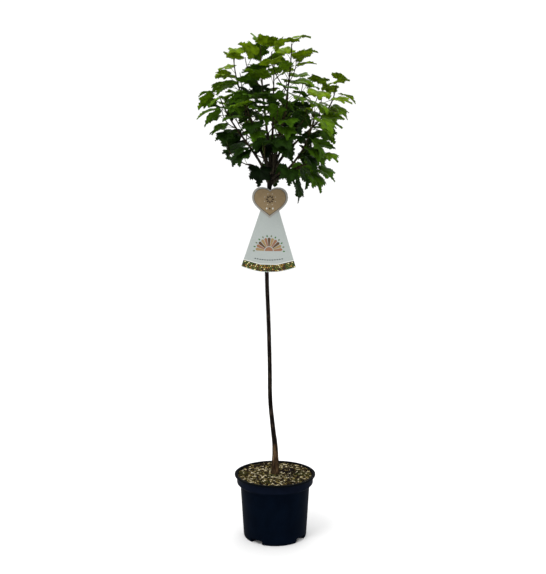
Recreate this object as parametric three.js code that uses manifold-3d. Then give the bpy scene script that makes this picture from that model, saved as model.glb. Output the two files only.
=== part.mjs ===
// A white currant grown as a standard: one slender trunk with a swollen graft head, leafy limbs
// that fork from the head, a round nursery pot filled with soil, and a two-piece card label strapped
// to the trunk. Millimetres, +Z up, the origin is under the middle of the pot, and the label faces -Y.
import * as THREE from "three";
import { mergeVertices } from "three/addons/utils/BufferGeometryUtils.js";
import Module from "manifold-3d";

const wasm = await Module();
wasm.setup();

// Driving dimensions
const gap = 0.3;
const pot = {
  height: 180,
  baseRadius: 92,
  baseRounding: 3,
  bodyTopRadius: 102,
  collarRadius: 112,
  collarFlare: 1,
  collarHeight: 25,
  shoulderHeight: 8,
  rimRadius: 119,
  lipHeight: 4,
  wall: 2.4,
  floor: 3,
  sides: 40,
};
const notch = { count: 4, first: 54, width: 40, depth: 24, height: 12 };
const soil = { edgeTop: 176, middleTop: 178, flatRadius: 30 };
const trunk = {
  footRadius: 6.2,
  topRadius: 5.6,
  top: 1098,
  domeStart: 1070,
  sides: 14,
  rings: 34,
  crowding: 0.7,
};
const flare = { radius: 6.6, fade: 60, lobes: 4, lobeTurn: 1, lobeShare: 0.15 };
const head = { height: 1064, swelling: 6.4, spread: 22, knobs: 3, knobShare: 0.22, knobTwist: 11 };
// Where the trunk leans: height, sideways (to the right) and depth (to the back).
const trunkBends = [
  [soil.middleTop, 1, 0],
  [258, 0, 0],
  [312, -6, 1],
  [395, -14, 3],
  [498, -15.5, 4],
  [616, -18.6, 3],
  [764, -24, 0],
  [867, -22, 0],
  [971, -19, 0],
  [1030, -16, 0],
  [trunk.top, -8, 0],
];
const bough = { share: 0.3, radius: 4.4, sunk: 3, cutGap: 0.45, sides: 8, rings: 5 };
const stem = { tipRadius: 1.5, sides: 5, rings: 6 };
const twig = { radius: 1.7, tipRadius: 1.2, sides: 3, rings: 3 };
// Where a twig leaves its stem, as a share of the limb, how it turns and how far it grows.
const fork = { from: 0.4, span: 0.4, spread: 0.08, firstTurn: 70, firstSpread: 40, nextSpread: 0.9 };
const twigReach = { length: 92, more: 34, forward: 0.55, sideways: 0.75, upward: 0.45, tipRise: 80 };
const bendPull = 0.36;
const petiole = {
  radius: 1.2,
  jointRadius: 1,
  depthShare: 1.6,
  length: 30,
  sizeShare: 0.36,
  young: 18,
  more: 12,
};
// How far a petiole leans off its shoot, in degrees, when old and young, and how much it lifts.
const lean = { old: 72, young: 40, spread: 18, lift: 0.2 };
const leaf = { thickness: 2, centre: 0.34, fold: 0.34, curl: 0.34, rollSpread: 52, outwardPull: 0.3 };
// A leaf tries some poses, keeps clear of what it doesn't grow on and stays in its own mass's space.
const leafRoom = { tries: 4, clearance: 0.5, middle: 0.4, nearest: 0.75 };
// A mass's space is measured from points along its limb, outside the bough, and along its twigs.
const axisPoints = { limb: 12, bough: 4, twig: 4 };
// The space before the graft head that no leaf hangs in, from the head's middle to each side.
const bareHead = { top: 1124, halfWidth: 28 };
// Half of a leaf's outline, from tip to base: angle from the midrib and share of its length.
const leafLobes = [
  [0, 1],
  [22, 0.66],
  [45, 0.94],
  [74, 0.58],
  [100, 0.74],
  [148, 0.34],
];
// Where the leaves of a shoot start, as a share of it, how far apart they grow, and their sizes.
const stemLeaves = { from: 0.34, spacing: 19, first: 0.7, large: 50, small: 38, spread: 10 };
const twigLeaves = { from: 0.35, spacing: 13.5, first: 0.7, large: 52, small: 38, spread: 10 };
// How far a leaf's blade droops, in degrees, at some heights. Near the crown's top it rises.
const droopHeights = [
  [1050, 46],
  [1140, 22],
  [1270, 6],
  [1430, -28],
];
const droopSpread = 50;
// Each limb: its bearing round the head (0 is right, 90 back, 270 front), the height where it leaves
// the head, how far out and how high its tip is, its rise there and at its start, and its seed.
const limbs = {
  left_low: { bearing: 186, from: 1056, out: 150, top: 1290, rise: 66, tipRise: 72, twigs: 2, seed: 11 },
  left_high: { bearing: 174, from: 1074, out: 112, top: 1404, rise: 80, tipRise: 86, twigs: 2, seed: 23 },
  left_foot: { bearing: 222, from: 1044, out: 93, top: 1084, rise: 30, tipRise: -20, twigs: 2, seed: 32 },
  top_left: { bearing: 236, from: 1084, out: 58, top: 1424, rise: 80, tipRise: 88, twigs: 2, seed: 35 },
  top_right: { bearing: 326, from: 1082, out: 70, top: 1436, rise: 76, tipRise: 88, twigs: 2, seed: 47 },
  top_back: { bearing: 84, from: 1082, out: 66, top: 1412, rise: 80, tipRise: 88, twigs: 2, seed: 59 },
  right_high: { bearing: 10, from: 1070, out: 196, top: 1326, rise: 66, tipRise: 84, twigs: 2, seed: 61 },
  right_low: { bearing: 344, from: 1036, out: 134, top: 1240, rise: 34, tipRise: 86, twigs: 2, seed: 73 },
  right_foot: { bearing: 2, from: 1050, out: 150, top: 1100, rise: 20, tipRise: 2, twigs: 1, seed: 80 },
  front_right: { bearing: 292, from: 1064, out: 130, top: 1276, rise: 78, tipRise: 76, twigs: 2, seed: 85 },
  front_left: { bearing: 240, from: 1062, out: 136, top: 1250, rise: 76, tipRise: 70, twigs: 2, seed: 97 },
  front_foot: { bearing: 318, from: 1052, out: 78, top: 1072, rise: 20, tipRise: -6, twigs: 1, seed: 102 },
  back_left: { bearing: 130, from: 1062, out: 144, top: 1308, rise: 70, tipRise: 78, twigs: 2, seed: 109 },
  back_right: { bearing: 48, from: 1062, out: 144, top: 1300, rise: 76, tipRise: 78, twigs: 2, seed: 121 },
  back_low: { bearing: 92, from: 1050, out: 150, top: 1206, rise: 42, tipRise: 52, twigs: 1, seed: 133 },
};
const label = { middle: -14.2, backGap: 0.3, thickness: 0.8, tilt: 1.2, margin: 10 };
const heart = { width: 106, height: 92, top: 1025, notchDepth: 11 };
const fan = { foot: 774, footRadius: 208, footWidth: 160, neckWidth: 55, neckHeight: 955 };
const strap = { height: 1004, width: 5, thickness: 1, slack: 1 };

const up = new THREE.Vector3(0, 0, 1);
const radians = THREE.MathUtils.degToRad;

// Solids and meshes
function solidOf(geometry) {
  const bare = geometry.clone();
  bare.deleteAttribute("normal");
  bare.deleteAttribute("uv");
  const merged = mergeVertices(bare, 1e-4);
  const mesh = new wasm.Mesh({
    numProp: 3,
    vertProperties: new Float32Array(merged.attributes.position.array),
    triVerts: new Uint32Array(merged.index.array),
  });
  return new wasm.Manifold(mesh);
}

function meshOf(name, solid, material) {
  const { vertProperties, triVerts } = solid.getMesh();
  const geometry = new THREE.BufferGeometry()
    .setAttribute("position", new THREE.BufferAttribute(new Float32Array(vertProperties), 3))
    .setIndex(new THREE.BufferAttribute(new Uint32Array(triVerts), 1));
  geometry.computeVertexNormals();
  const mesh = new THREE.Mesh(geometry, material);
  mesh.name = name;
  return mesh;
}

// The largest body of a fused solid, so that loose scraps are dropped.
function largestBody(solid) {
  return solid.decompose().reduce((best, body) => (body.volume() > best.volume() ? body : best));
}

// A closed tube through rings of points, with a fan over each end.
function tubeGeometry(rings, first, last) {
  const sides = rings[0].length;
  const points = [...rings.flat(), first, last];
  const firstIndex = rings.length * sides;
  const lastRing = firstIndex - sides;
  const triangles = [];
  for (let s = 0; s < sides; s++) {
    const next = (s + 1) % sides;
    triangles.push(firstIndex, next, s, firstIndex + 1, lastRing + s, lastRing + next);
    for (let low = 0; low < lastRing; low += sides) {
      const high = low + sides;
      triangles.push(low + s, low + next, high + next, low + s, high + next, high + s);
    }
  }
  return new THREE.BufferGeometry().setFromPoints(points).setIndex(triangles);
}

// A tapering limb along part of a curve.
function limbSolid(line, from, to, radiusAt, { sides, rings }, side) {
  const ringList = [];
  for (let i = 0; i <= rings; i++) {
    const share = from + ((to - from) * i) / rings;
    const centre = line.getPoint(share);
    const direction = line.getTangent(share);
    const radius = radiusAt(share);
    const turns = Array.from({ length: sides }, (_, s) => (2 * Math.PI * s) / sides);
    const place = (turn) => aroundShoot(direction, side, turn).multiplyScalar(radius).add(centre);
    ringList.push(turns.map(place));
  }
  return solidOf(tubeGeometry(ringList, line.getPoint(from), line.getPoint(to)));
}

// Trunk
// The trunk's centre, on a smooth line through its bends.
function trunkCentre(height) {
  const i = trunkBends.findIndex((bend, n) => n > 0 && height <= bend[0]);
  const [low, high] = [trunkBends[i - 1], trunkBends[i]];
  const span = high[0] - low[0];
  const s = (height - low[0]) / span;
  const slope = (n, axis) => {
    const above = trunkBends[Math.min(n + 1, trunkBends.length - 1)];
    const below = trunkBends[Math.max(n - 1, 0)];
    return (above[axis] - below[axis]) / (above[0] - below[0]);
  };
  const along = (axis) => {
    const places = (2 * s ** 3 - 3 * s ** 2 + 1) * low[axis] + (3 * s ** 2 - 2 * s ** 3) * high[axis];
    const slopes = (s ** 3 - 2 * s ** 2 + s) * slope(i - 1, axis) + (s ** 3 - s ** 2) * slope(i, axis);
    return places + span * slopes;
  };
  return new THREE.Vector3(along(1), along(2), height);
}

// The trunk's radius: a slow taper, the lobed root flare, the knobbly head and its round top.
function trunkRadius(height, angle) {
  const above = height - soil.middleTop;
  const taper = THREE.MathUtils.lerp(trunk.footRadius, trunk.topRadius, above / (trunk.top - soil.middleTop));
  const lobes = 1 + flare.lobeShare * Math.cos(flare.lobes * angle + flare.lobeTurn);
  const knobs = 1 + head.knobShare * Math.cos(head.knobs * angle + height / head.knobTwist);
  const foot = flare.radius * lobes * Math.exp(-above / flare.fade);
  const swelling = head.swelling * knobs * Math.exp(-((height - head.height) ** 2) / (2 * head.spread ** 2));
  const dome = Math.max(0, (height - trunk.domeStart) / (trunk.top - trunk.domeStart));
  return (taper + foot + swelling) * Math.sqrt(1 - dome ** 2);
}

// Rings crowd together towards the root flare and the head.
function trunkHeights() {
  const foot = soil.middleTop + gap;
  return Array.from({ length: trunk.rings }, (_, i) => {
    const share = i / trunk.rings;
    const crowded = share - (trunk.crowding * Math.sin(2 * Math.PI * share)) / (2 * Math.PI);
    return THREE.MathUtils.lerp(foot, trunk.top, crowded);
  });
}

function trunkSolid(grown) {
  const rings = trunkHeights().map((height) =>
    Array.from({ length: trunk.sides }, (_, s) => {
      const angle = (2 * Math.PI * s) / trunk.sides;
      const outward = new THREE.Vector3(Math.cos(angle), Math.sin(angle), 0);
      return trunkCentre(height).addScaledVector(outward, trunkRadius(height, angle) + grown);
    }),
  );
  const top = trunkCentre(trunk.top);
  top.z += grown;
  return solidOf(tubeGeometry(rings, trunkCentre(soil.middleTop + gap), top));
}

// The growth rule
// A seeded random number from 0 to 1.
function seededRandom(seed) {
  let state = seed >>> 0;
  return () => {
    state = (state + 0x6d2b79f5) >>> 0;
    let t = Math.imul(state ^ (state >>> 15), state | 1);
    t ^= t + Math.imul(t ^ (t >>> 7), t | 61);
    return ((t ^ (t >>> 14)) >>> 0) / 4294967296;
  };
}

function headingOf(bearing, rise) {
  const flat = Math.cos(radians(rise));
  return new THREE.Vector3(
    flat * Math.cos(radians(bearing)),
    flat * Math.sin(radians(bearing)),
    Math.sin(radians(rise)),
  );
}

// A direction square to a shoot, turned round it by an angle, where 0 is the limb's outer side.
function aroundShoot(direction, outward, angle) {
  const u = outward.clone().addScaledVector(direction, -outward.dot(direction)).normalize();
  const v = new THREE.Vector3().crossVectors(direction, u);
  return u.multiplyScalar(Math.cos(angle)).addScaledVector(v, Math.sin(angle));
}

// A curve from start to tip that leaves along one heading and arrives along another.
function bendingLine(start, tip, startHeading, tipHeading) {
  const pull = bendPull * start.distanceTo(tip);
  return new THREE.CubicBezierCurve3(
    start,
    start.clone().addScaledVector(startHeading, pull),
    tip.clone().addScaledVector(tipHeading, -pull),
    tip,
  );
}

function limbLine({ bearing, from, out, top, rise, tipRise }) {
  const outward = headingOf(bearing, 0);
  const surface = trunkRadius(from, radians(bearing));
  const start = trunkCentre(from).addScaledVector(outward, surface - bough.sunk);
  const tip = trunkCentre(from).addScaledVector(outward, out).setZ(top);
  return bendingLine(start, tip, headingOf(bearing, rise), headingOf(bearing, tipRise));
}

const goldenAngle = radians(137.5);

// The droop at a height, on straight lines between the heights that have one.
function droopAt(height) {
  const above = droopHeights.findIndex((pair) => height < pair[0]);
  if (above === 0) return droopHeights[0][1];
  if (above < 0) return droopHeights.at(-1)[1];
  const [low, high] = [droopHeights[above - 1], droopHeights[above]];
  return THREE.MathUtils.mapLinear(height, low[0], high[0], low[1], high[1]);
}

// One leaf: a petiole from its root on the shoot to its joint, and a blade that lies out from there
// along its midrib and droops more towards the crown's foot.
function leafPose(root, direction, outward, turn, young, sizes, random) {
  const away = aroundShoot(direction, outward, turn);
  const size = THREE.MathUtils.lerp(sizes.large, sizes.small, young) + sizes.spread * (random() - 0.5);
  const stalk = petiole.length + petiole.sizeShare * size - petiole.young * young + petiole.more * random();
  const leaning = radians(THREE.MathUtils.lerp(lean.old, lean.young, young) + lean.spread * (random() - 0.5));
  const reach = direction.clone().multiplyScalar(Math.cos(leaning)).addScaledVector(away, Math.sin(leaning));
  reach.addScaledVector(up, lean.lift).normalize();
  const joint = root.clone().addScaledVector(reach, stalk);
  const down = droopAt(joint.z) + droopSpread * (random() - 0.5);
  const flat = new THREE.Vector3(reach.x, reach.y, 0).addScaledVector(outward, leaf.outwardPull);
  const midrib = flat.setLength(Math.cos(radians(down))).addScaledVector(up, -Math.sin(radians(down)));
  const roll = radians(leaf.rollSpread * (random() - 0.5));
  return { root, joint, midrib, roll, size };
}

// Leaves along a shoot, turned by the golden angle, each with a few poses to try in turn.
function leavesAlong(shoot, line, outward, sizes, random) {
  let turn = 2 * Math.PI * random();
  const count = Math.round(((1 - sizes.from) * line.v0.distanceTo(line.v3)) / sizes.spacing);
  return Array.from({ length: count }, (_, i) => {
    const share = sizes.from + (1 - sizes.from) * ((i + sizes.first) / count);
    const root = line.getPoint(share);
    const direction = line.getTangent(share);
    turn += goldenAngle;
    const poses = Array.from({ length: leafRoom.tries }, (_, n) =>
      leafPose(root, direction, outward, turn + n * goldenAngle, i / count, sizes, random),
    );
    return { shoot, poses };
  });
}

// What grows from one limb's stem: its side twigs, and the leaves on the stem and on each twig.
function growth(limb) {
  const random = seededRandom(limb.seed);
  const outward = headingOf(limb.bearing, 0);
  const line = limbLine(limb);
  const leaves = leavesAlong(0, line, outward, stemLeaves, random);
  const twigs = [];
  let turn = radians(fork.firstTurn + fork.firstSpread * random());
  for (let i = 0; i < limb.twigs; i++) {
    const share = fork.from + (fork.span * i) / limb.twigs + fork.spread * random();
    const root = line.getPoint(share);
    const direction = line.getTangent(share);
    const sideways = aroundShoot(direction, outward, turn);
    const heading = sideways.addScaledVector(direction, twigReach.forward).normalize();
    turn += Math.PI + fork.nextSpread * (random() - 0.5);
    const length = twigReach.length + twigReach.more * random();
    const tip = root.clone().addScaledVector(heading, twigReach.sideways * length);
    tip.addScaledVector(up, twigReach.upward * length);
    const twigLine = bendingLine(root, tip, heading, headingOf(limb.bearing, twigReach.tipRise));
    twigs.push(twigLine);
    leaves.push(...leavesAlong(i + 1, twigLine, outward, twigLeaves, random));
  }
  return { limb, outward, line, twigs, leaves };
}

// Bough, stem, twig and leaf solids
const stemRadius = (share) => THREE.MathUtils.lerp(bough.radius, stem.tipRadius, share);
const twigRadius = (share) => THREE.MathUtils.lerp(twig.radius, twig.tipRadius, share);

// A bough runs along the first share of its limb, and stops just clear of the stem that grows on.
function boughSolid(limb) {
  const line = limbLine(limb);
  const end = bough.share - gap / line.getLength();
  return limbSolid(line, 0, end, stemRadius, bough, headingOf(limb.bearing, 0));
}

// A thin blade with five lobes, folded up along its midrib and curling down towards its tips. With
// its petiole, a three-sided stalk runs from the blade's base to the root inside the shoot.
function leafSolid({ root, joint, midrib, roll, size }, hasPetiole) {
  const across = new THREE.Vector3().crossVectors(up, midrib).normalize().applyAxisAngle(midrib, roll);
  const normal = new THREE.Vector3().crossVectors(midrib, across);
  const place = new THREE.Matrix4().makeBasis(midrib, across, normal).setPosition(joint);
  const rightHalf = leafLobes.slice(1).reverse().map(([angle, reach]) => [-angle, reach]);
  const blade = [...rightHalf, ...leafLobes].map(([angle, reach]) => {
    const radius = reach * size;
    const x = radius * Math.cos(radians(angle));
    const y = radius * Math.sin(radians(angle));
    return new THREE.Vector3(x, y, leaf.fold * Math.abs(y) - (leaf.curl * radius ** 2) / size);
  });
  const width = petiole.jointRadius;
  const ring = [...blade, new THREE.Vector3(0, width, 0), new THREE.Vector3(0, -width, 0)];
  const count = ring.length;
  const half = leaf.thickness / 2;
  const upper = new THREE.Vector3(leaf.centre * size, 0, half);
  const lower = new THREE.Vector3(leaf.centre * size, 0, -half);
  const points = [...ring, upper, lower].map((point) => point.applyMatrix4(place));
  const triangles = [];
  for (let i = 0; i < count; i++) {
    const next = (i + 1) % count;
    triangles.push(count, i, next);
    if (!hasPetiole || i !== count - 2) triangles.push(count + 1, next, i);
  }
  if (hasPetiole) {
    points.push(joint.clone().addScaledVector(normal, -petiole.depthShare * width));
    points.push(root.clone().addScaledVector(across, petiole.radius));
    points.push(root.clone().addScaledVector(across, -petiole.radius));
    points.push(root.clone().addScaledVector(normal, -petiole.depthShare * petiole.radius));
    const [left, right, under] = [count - 2, count - 1, count + 2];
    const [rootLeft, rootRight, rootUnder] = [count + 3, count + 4, count + 5];
    triangles.push(count + 1, under, left, count + 1, right, under);
    triangles.push(left, under, rootUnder, left, rootUnder, rootLeft);
    triangles.push(under, right, rootRight, under, rootRight, rootUnder);
    triangles.push(right, left, rootLeft, right, rootLeft, rootRight);
    triangles.push(rootLeft, rootUnder, rootRight);
  }
  return solidOf(new THREE.BufferGeometry().setFromPoints(points).setIndex(triangles));
}

// Whether two solids are nearer than the leaves' clearance, with their boxes tried first.
function isNear(a, b) {
  const isPast = (box, other) => box.min.some((v, i) => v > other.max[i] + leafRoom.clearance);
  const [boxA, boxB] = [a.boundingBox(), b.boundingBox()];
  return !isPast(boxA, boxB) && !isPast(boxB, boxA) && a.minGap(b, leafRoom.clearance) < leafRoom.clearance;
}

// Whether a leaf would hang before the graft head, which stays bare in front.
function hidesHead({ joint, midrib, size }) {
  const middle = joint.clone().addScaledVector(midrib, leafRoom.middle * size);
  const beside = Math.abs(middle.x - trunkCentre(head.height).x);
  return middle.y < 0 && middle.z < bareHead.top && beside < bareHead.halfWidth;
}

// The foliage masses grow leaf by leaf in turns, so that each keeps to its own space. A leaf tries its
// poses in turn, and it or a twig is left out where it comes near a limb, a leaf or another mass.
function growMasses(plants, keepOut) {
  const shoots = plants.map(({ line, outward }) => [
    limbSolid(line, bough.share, 1, stemRadius, stem, outward),
  ]);
  const leaves = plants.map(() => []);
  const isClearOf = (probe, solids) => solids.every((solid) => !isNear(probe, solid));
  const isClear = (probe, m) =>
    isClearOf(probe, keepOut) &&
    shoots.every((list, n) => n === m || isClearOf(probe, list)) &&
    leaves.every((list) => isClearOf(probe, list));

  const twigKept = plants.map(({ twigs, outward }, m) => [
    true,
    ...twigs.map((line) => {
      const shape = limbSolid(line, 0, 1, twigRadius, twig, outward);
      const clear = isClear(shape, m);
      if (clear) shoots[m].push(shape);
      return clear;
    }),
  ]);

  const axes = plants.map(({ line, twigs }, m) => [
    ...line.getSpacedPoints(axisPoints.limb).slice(axisPoints.bough),
    ...twigs
      .filter((_, i) => twigKept[m][i + 1])
      .flatMap((twigLine) => twigLine.getSpacedPoints(axisPoints.twig)),
  ]);
  const distanceTo = (point, m) => Math.min(...axes[m].map((axisPoint) => axisPoint.distanceTo(point)));
  const isInOwnSpace = ({ joint, midrib, size }, m) => {
    const middle = joint.clone().addScaledVector(midrib, leafRoom.middle * size);
    const own = distanceTo(middle, m);
    return axes.every((_, n) => n === m || distanceTo(middle, n) > leafRoom.nearest * own);
  };
  const fits = (pose, m) =>
    !hidesHead(pose) &&
    isInOwnSpace(pose, m) &&
    isClearOf(leafSolid(pose, false), shoots[m]) &&
    isClear(leafSolid(pose, true), m);

  const most = Math.max(...plants.map((grown) => grown.leaves.length));
  for (let i = 0; i < most; i++) {
    plants.forEach((grown, m) => {
      if (i >= grown.leaves.length || !twigKept[m][grown.leaves[i].shoot]) return;
      const pose = grown.leaves[i].poses.find((one) => fits(one, m));
      if (pose) leaves[m].push(leafSolid(pose, true));
    });
  }
  return plants.map((_, m) => largestBody(wasm.Manifold.union([...shoots[m], ...leaves[m]])));
}

// Pot and soil
function latheSolid(profile) {
  const outline = profile.map(([radius, height]) => new THREE.Vector2(radius, height));
  return solidOf(new THREE.LatheGeometry(outline, pot.sides).rotateX(Math.PI / 2));
}

const collarFoot = pot.height - pot.collarHeight;
const shoulderFoot = collarFoot - pot.shoulderHeight;

function potSolid() {
  const lipFoot = pot.height - pot.lipHeight;
  const body = latheSolid([
    [0, 0],
    [pot.baseRadius - pot.baseRounding, 0],
    [pot.baseRadius, pot.baseRounding],
    [pot.bodyTopRadius, shoulderFoot],
    [pot.collarRadius, collarFoot],
    [pot.collarRadius + pot.collarFlare, lipFoot],
    [pot.rimRadius, lipFoot],
    [pot.rimRadius, pot.height],
    [pot.collarRadius + pot.collarFlare - pot.wall, pot.height],
    [pot.collarRadius - pot.wall, collarFoot],
    [pot.bodyTopRadius - pot.wall, shoulderFoot],
    [pot.baseRadius - pot.wall, pot.floor + notch.height],
    [0, pot.floor + notch.height],
  ]);
  const cutter = new THREE.BoxGeometry(2 * notch.depth, notch.width, 2 * notch.height);
  const notches = Array.from({ length: notch.count }, (_, i) => {
    const angle = radians(notch.first + (360 * i) / notch.count);
    const place = new THREE.Matrix4().makeRotationZ(angle);
    place.multiply(new THREE.Matrix4().makeTranslation(pot.baseRadius, 0, 0));
    return solidOf(cutter.clone().applyMatrix4(place));
  });
  return body.subtract(wasm.Manifold.union(notches));
}

function soilSolid() {
  const clear = pot.wall + 2 * gap;
  const floor = pot.floor + notch.height + gap;
  const edgeShare = (soil.edgeTop - collarFoot) / pot.collarHeight;
  return latheSolid([
    [0, floor],
    [pot.baseRadius - clear, floor],
    [pot.bodyTopRadius - clear, shoulderFoot],
    [pot.collarRadius - clear, collarFoot],
    [pot.collarRadius + pot.collarFlare * edgeShare - clear, soil.edgeTop],
    [soil.flatRadius, soil.middleTop],
    [0, soil.middleTop],
  ]);
}

// Label and its strap
function heartShape() {
  const x = label.middle;
  const half = heart.width / 2;
  const { top, height } = heart;
  const dip = top - heart.notchDepth;
  const point = top - height;
  const shape = new THREE.Shape().moveTo(x, dip);
  shape.bezierCurveTo(x + 0.2 * half, top + 3, x + 0.98 * half, top + 6, x + half, top - 0.34 * height);
  shape.bezierCurveTo(x + half, top - 0.62 * height, x + 0.4 * half, top - 0.8 * height, x, point);
  shape.bezierCurveTo(
    x - 0.4 * half,
    top - 0.8 * height,
    x - half,
    top - 0.62 * height,
    x - half,
    top - 0.34 * height,
  );
  shape.bezierCurveTo(x - 0.98 * half, top + 6, x - 0.2 * half, top + 3, x, dip);
  return shape;
}

function fanShape() {
  const halfAngle = Math.asin(fan.footWidth / 2 / fan.footRadius);
  const down = -Math.PI / 2;
  const shape = new THREE.Shape();
  shape.absarc(label.middle, fan.foot + fan.footRadius, fan.footRadius, down - halfAngle, down + halfAngle);
  shape.lineTo(label.middle + fan.neckWidth / 2, fan.neckHeight);
  shape.lineTo(label.middle - fan.neckWidth / 2, fan.neckHeight);
  shape.closePath();
  return shape;
}

// An upright plate with its back at a given depth, tilted a little about the heart's dip.
function plateSolid(shape, back) {
  const options = { depth: label.thickness, bevelEnabled: false, curveSegments: 8 };
  const dip = heart.top - heart.notchDepth;
  const plate = new THREE.ExtrudeGeometry(shape, options).rotateX(Math.PI / 2);
  plate.translate(-label.middle, back, -dip).rotateY(radians(label.tilt)).translate(label.middle, 0, dip);
  return solidOf(plate);
}

// The label's back is just clear of the trunk where the trunk comes furthest forward.
function labelBack() {
  const [low, high] = [fan.foot - label.margin, heart.top + label.margin];
  const behind = trunkHeights().filter((height) => height > low && height < high);
  const fronts = behind.map((height) => trunkCentre(height).y - trunkRadius(height, -Math.PI / 2));
  return Math.min(...fronts) - label.backGap;
}

// A strap that runs from the heart's back round the trunk and returns to it.
function strapSolid(back) {
  const centre = trunkCentre(strap.height);
  const inside = trunkRadius(strap.height + strap.width, radians(90)) + strap.slack + gap;
  const outside = inside + strap.thickness;
  const front = back + gap;
  const shape = new THREE.Shape().moveTo(centre.x + outside, front);
  shape.absarc(centre.x, centre.y, outside, 0, Math.PI);
  shape.lineTo(centre.x - outside, front);
  shape.lineTo(centre.x - inside, front);
  shape.absarc(centre.x, centre.y, inside, Math.PI, 0, true);
  shape.lineTo(centre.x + inside, front);
  shape.closePath();
  const options = { depth: strap.width, bevelEnabled: false, curveSegments: 10 };
  return solidOf(new THREE.ExtrudeGeometry(shape, options).translate(0, 0, strap.height));
}

// Materials
const finish = (color, roughness) => new THREE.MeshStandardMaterial({ color, roughness, metalness: 0 });
const bark = finish(0x4a3f35, 0.9);
const leafGreen = finish(0x3f6b14, 0.6);
const potBlack = finish(0x12151c, 0.55);
const soilBrown = finish(0x6e5f3c, 0.95);
const cardGrey = finish(0xc9d0d2, 0.5);
const cardBrown = finish(0x8c7355, 0.6);
const strapWhite = finish(0xd8d8d2, 0.5);

// The plant
const backOfLabel = labelBack();
const heartBack = backOfLabel - label.thickness - gap;
const labelFan = plateSolid(fanShape(), backOfLabel);
const labelHeart = plateSolid(heartShape(), heartBack);
const labelStrap = strapSolid(heartBack);
const limbList = Object.values(limbs);
const grownTrunk = trunkSolid(bough.cutGap);
const boughs = limbList.map((limb) => largestBody(boughSolid(limb).subtract(grownTrunk)));
const keepOut = [trunkSolid(0), ...boughs, labelFan, labelHeart, labelStrap];
const masses = growMasses(limbList.map(growth), keepOut);

const plant = new THREE.Group();
plant.add(meshOf("pot", potSolid(), potBlack));
plant.add(meshOf("soil", soilSolid(), soilBrown));
plant.add(meshOf("trunk", trunkSolid(0), bark));
Object.keys(limbs).forEach((name, i) => {
  plant.add(meshOf("bough_" + name, boughs[i], bark));
  plant.add(meshOf("foliage_" + name, masses[i], leafGreen));
});
plant.add(meshOf("label_fan", labelFan, cardGrey));
plant.add(meshOf("label_heart", labelHeart, cardBrown));
plant.add(meshOf("label_strap", labelStrap, strapWhite));

export default plant;
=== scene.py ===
"""The looks of a potted white currant standard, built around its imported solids."""

from collections import namedtuple
from math import asin, atan2, cos, degrees, exp, hypot, pi, radians, sin, sqrt
from types import SimpleNamespace as Sizes

import bpy
import numpy as np
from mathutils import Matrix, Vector, kdtree, noise


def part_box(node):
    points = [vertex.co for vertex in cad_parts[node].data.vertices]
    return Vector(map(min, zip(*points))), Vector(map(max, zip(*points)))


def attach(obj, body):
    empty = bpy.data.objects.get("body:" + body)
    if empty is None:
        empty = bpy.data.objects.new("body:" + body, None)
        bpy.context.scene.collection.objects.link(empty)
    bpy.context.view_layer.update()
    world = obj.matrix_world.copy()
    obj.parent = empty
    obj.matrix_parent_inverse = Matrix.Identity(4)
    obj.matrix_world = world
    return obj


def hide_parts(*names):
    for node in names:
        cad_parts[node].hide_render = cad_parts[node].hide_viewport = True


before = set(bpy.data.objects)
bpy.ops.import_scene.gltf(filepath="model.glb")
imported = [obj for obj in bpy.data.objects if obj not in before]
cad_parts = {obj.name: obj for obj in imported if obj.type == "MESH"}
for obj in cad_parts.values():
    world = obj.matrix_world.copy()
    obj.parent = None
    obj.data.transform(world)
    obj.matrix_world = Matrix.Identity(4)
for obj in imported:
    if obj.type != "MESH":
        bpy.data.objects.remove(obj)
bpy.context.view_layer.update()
scene = bpy.context.scene

MM = 0.001
UP = np.array([0.0, 0.0, 1.0])
GOLDEN_ANGLE = radians(137.5)

# The plant's sizes in millimetres, as its solids have them
POT = Sizes(
    height=180, base=92, rounding=3, body_top=102, collar=112, collar_height=25, shoulder=8,
    rim=119, lip=4, wall=2.4, inside_step=1,
)
POT_INSIDE = POT.collar + POT.inside_step - POT.wall
NOTCH = Sizes(count=4, first=54, width=40, depth=24, height=12, seam=0.12)
SOIL = Sizes(edge_top=176, middle_top=178, flat_radius=30, edge_gap=1)
TRUNK = Sizes(foot_radius=6.2, top_radius=5.6, top=1098, dome_start=1070)
FLARE = Sizes(radius=6.6, fade=60, lobes=4, share=0.15, phase=1)
HEAD = Sizes(height=1064, swelling=6.4, spread=22, knobs=3, share=0.22, twist=11)
# Height, sideways and depth of the trunk's bends
TRUNK_BENDS = np.array([
    (178, 1, 0), (258, 0, 0), (312, -6, 1), (395, -14, 3), (498, -15.5, 4), (616, -18.6, 3),
    (764, -24, 0), (867, -22, 0), (971, -19, 0), (1030, -16, 0), (1098, -8, 0),
])
FOOT_SIDEWAYS, HEAD_SIDEWAYS = TRUNK_BENDS[0][1], TRUNK_BENDS[-1][1]
BOUGH = Sizes(share=0.3, radius=4.4, sunk=3)
STEM_TIP_RADIUS = 1.5
TWIG = Sizes(radius=1.7, tip_radius=1.2, length=92, more=34, rings=14, sides=7)
FORK = Sizes(start=0.4, span=0.4, spread=0.08, first=70, first_spread=40, next_spread=0.9)
SIDE_SHOOT = Sizes(forward=0.55, sideways=0.75, upward=0.45, tip_rise=80)
BEND_PULL = 0.36
PETIOLE = Sizes(length=30, size_share=0.36, young=18, more=12)
LEAN = Sizes(old=72, young=40, spread=18, lift=0.2)
LEAF = Sizes(fold=0.34, curl=0.34, roll_spread=52, outward_pull=0.3, middle=0.4, tries=4)
STEM_LEAVES = Sizes(start=0.34, spacing=19, first=0.7, large=50, small=38, spread=10, petiole=1)
TWIG_LEAVES = Sizes(start=0.35, spacing=13.5, first=0.7, large=52, small=38, spread=10, petiole=1)
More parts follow.
